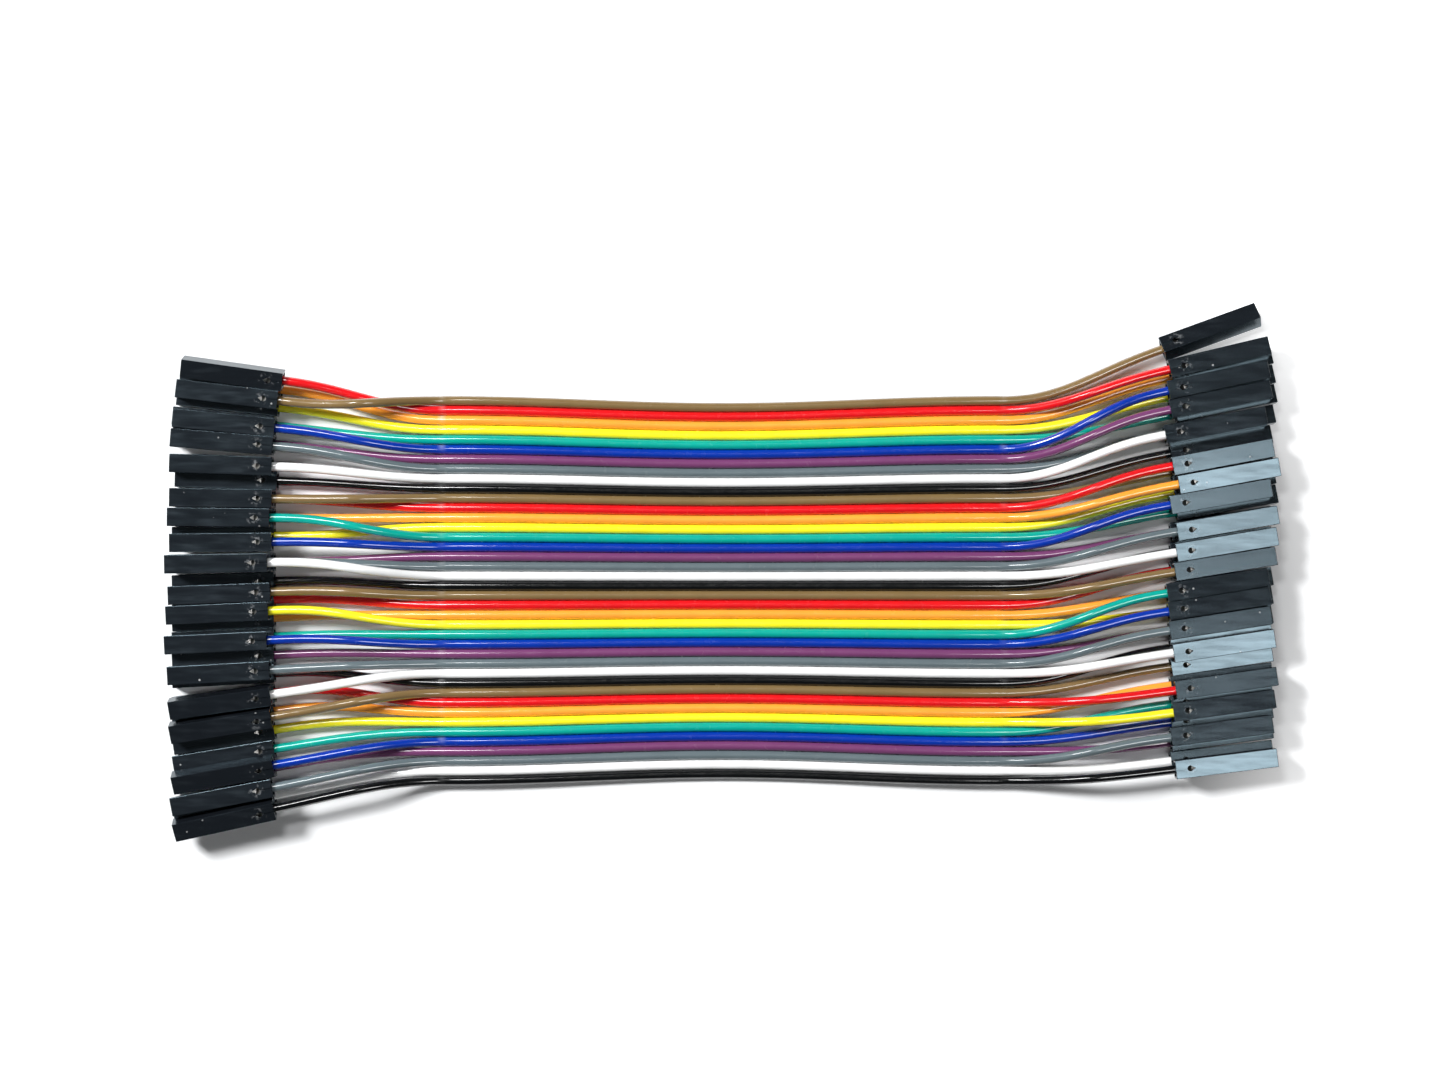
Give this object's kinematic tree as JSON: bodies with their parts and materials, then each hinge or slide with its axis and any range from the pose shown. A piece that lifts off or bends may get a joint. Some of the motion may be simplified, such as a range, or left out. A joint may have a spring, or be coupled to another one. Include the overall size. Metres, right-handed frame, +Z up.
{
  "type": "jumper wire ribbon",
  "caption": "Rainbow ribbon of bonded jumper wires that fan out at both ends into piles of black one-way pin socket housings",
  "frame": {"origin": "on the floor under the middle of the outline of both piles of housings", "axes": "+X along the ribbon towards the right-hand pile, +Y across the ribbon towards the first brown wire, +Z up"},
  "size_m": [0.1524, 0.0738, 0.0075],
  "materials": {
    "socket_plastic": "satin black moulded plastic, lightly scuffed",
    "pvc_brown": "smooth brown PVC insulation",
    "pvc_red": "smooth red PVC insulation",
    "pvc_orange": "smooth orange PVC insulation",
    "pvc_yellow": "smooth yellow PVC insulation",
    "pvc_green": "smooth green PVC insulation",
    "pvc_blue": "smooth blue PVC insulation",
    "pvc_purple": "smooth purple PVC insulation",
    "pvc_grey": "smooth grey PVC insulation",
    "pvc_white": "smooth white PVC insulation",
    "pvc_black": "smooth black PVC insulation"
  },
  "bodies": {
    "root": {"housings_left_01": "socket_plastic", "housings_left_02": "socket_plastic", "housings_left_03": "socket_plastic", "housings_left_04": "socket_plastic", "housings_left_05": "socket_plastic", "housings_left_06": "socket_plastic", "housings_left_07": "socket_plastic", "housings_left_08": "socket_plastic", "housings_left_09": "socket_plastic", "housings_left_10": "socket_plastic", "housings_right_01": "socket_plastic", "housings_right_02": "socket_plastic", "housings_right_03": "socket_plastic", "housings_right_04": "socket_plastic", "housings_right_05": "socket_plastic", "housings_right_06": "socket_plastic", "housings_right_07": "socket_plastic", "housings_right_08": "socket_plastic", "housings_right_09": "socket_plastic", "housings_right_10": "socket_plastic", "wire_01_brown": "pvc_brown", "wire_02_red": "pvc_red", "wire_03_orange": "pvc_orange", "wire_04_yellow": "pvc_yellow", "wire_05_green": "pvc_green", "wire_06_blue": "pvc_blue", "wire_07_purple": "pvc_purple", "wire_08_grey": "pvc_grey", "wire_09_white": "pvc_white", "wire_10_black": "pvc_black", "wire_11_brown": "pvc_brown", "wire_12_red": "pvc_red", "wire_13_orange": "pvc_orange", "wire_14_yellow": "pvc_yellow", "wire_15_green": "pvc_green", "wire_16_blue": "pvc_blue", "wire_17_purple": "pvc_purple", "wire_18_grey": "pvc_grey", "wire_19_white": "pvc_white", "wire_20_black": "pvc_black", "wire_21_brown": "pvc_brown", "wire_22_red": "pvc_red", "wire_23_orange": "pvc_orange", "wire_24_yellow": "pvc_yellow", "wire_25_green": "pvc_green", "wire_26_blue": "pvc_blue", "wire_27_purple": "pvc_purple", "wire_28_grey": "pvc_grey", "wire_29_white": "pvc_white", "wire_30_black": "pvc_black", "wire_31_brown": "pvc_brown", "wire_32_red": "pvc_red", "wire_33_orange": "pvc_orange", "wire_34_yellow": "pvc_yellow", "wire_35_green": "pvc_green", "wire_36_blue": "pvc_blue", "wire_37_purple": "pvc_purple", "wire_38_grey": "pvc_grey", "wire_39_white": "pvc_white", "wire_40_black": "pvc_black"}
  },
  "joints": []
}
